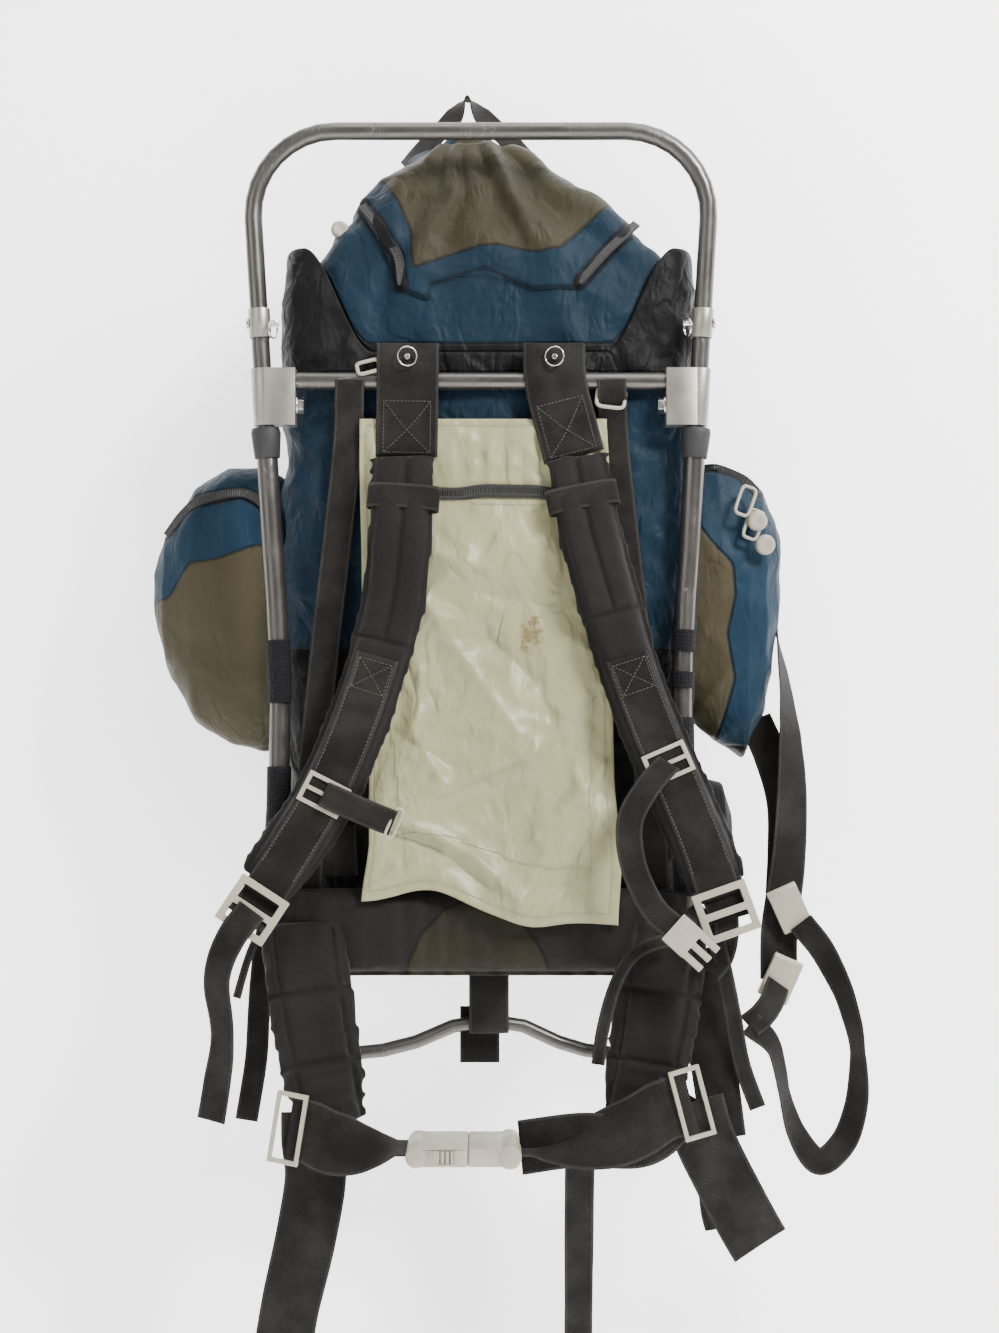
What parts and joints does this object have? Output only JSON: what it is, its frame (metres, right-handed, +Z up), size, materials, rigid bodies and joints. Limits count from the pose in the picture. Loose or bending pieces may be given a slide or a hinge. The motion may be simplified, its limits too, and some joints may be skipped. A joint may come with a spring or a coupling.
{
  "type": "external frame backpack",
  "caption": "External frame backpack with a tube frame, soft bag, hooded lid, side pockets, padded shoulder straps and a buckled hip belt, hanging by its haul loop.",
  "frame": {"origin": "underside of the haul loop at its highest point, where the pack hangs", "axes": "+Z up, +X to the right as seen from the harness side, -Y towards the wearer"},
  "size_m": [0.6242, 0.3449, 1.127],
  "materials": {
    "frame_tube": "dark anodised tube with fine scratches",
    "clamp_metal": "satin cast clamps and turned collars",
    "steel": "bright bolts and pins",
    "rubber": "matt black bushings",
    "webbing": "brown-black woven webbing",
    "pad_cloth": "dark brown-black pack cloth over foam",
    "panel_cloth": "pale grey-green coated nylon, crumpled",
    "blue_cloth": "slate-blue nylon, wrinkled",
    "olive_cloth": "olive-brown pack cloth with blue borders",
    "mesh_cloth": "black mesh",
    "buckle_plastic": "warm light grey moulded plastic"
  },
  "bodies": {
    "root": {"top_hoop": "frame_tube", "rail_left": "frame_tube", "rail_right": "frame_tube", "crossbar": "frame_tube", "lower_loop": "frame_tube", "clamp_left": "clamp_metal", "clamp_right": "clamp_metal", "collar_left": "clamp_metal", "collar_right": "clamp_metal", "clamp_bolt_left": "steel", "clamp_bolt_right": "steel", "collar_pin_left": "steel", "collar_pin_right": "steel", "yoke_pin_left": "steel", "yoke_pin_right": "steel", "bushing_left": "rubber", "bushing_right": "rubber", "yoke_web_left": "webbing", "yoke_web_right": "webbing", "adjuster_web_left": "webbing", "adjuster_web_right": "webbing", "sternum_strap_left": "webbing", "sternum_strap_right": "webbing", "lower_strap_left": "webbing", "lower_strap_right": "webbing", "back_web_left": "webbing", "back_web_right": "webbing", "belt_web_left": "webbing", "belt_web_right": "webbing", "belt_tail_left": "webbing", "belt_tail_right": "webbing", "belt_tail_middle": "webbing", "bottom_strap": "webbing", "bottom_strap_tail": "webbing", "haul_loop": "webbing", "side_strap": "webbing", "side_loop_strap": "webbing", "shoulder_pad_left": "pad_cloth", "shoulder_pad_right": "pad_cloth", "lumbar_pad": "pad_cloth", "belt_wing_left": "pad_cloth", "belt_wing_right": "pad_cloth", "back_panel": "panel_cloth", "main_bag": "blue_cloth", "lid": "olive_cloth", "side_pocket_left": "olive_cloth", "side_pocket_right": "olive_cloth", "mesh_pocket_left": "mesh_cloth", "mesh_pocket_right": "mesh_cloth", "sternum_slider_left": "buckle_plastic", "sternum_slider_right": "buckle_plastic", "ladder_lock_left": "buckle_plastic", "ladder_lock_right": "buckle_plastic", "sternum_buckle": "buckle_plastic", "belt_socket": "buckle_plastic", "belt_plug": "buckle_plastic", "belt_glide_left": "buckle_plastic", "belt_glide_right": "buckle_plastic", "side_buckle_upper": "buckle_plastic", "side_buckle_lower": "buckle_plastic"}
  },
  "joints": []
}
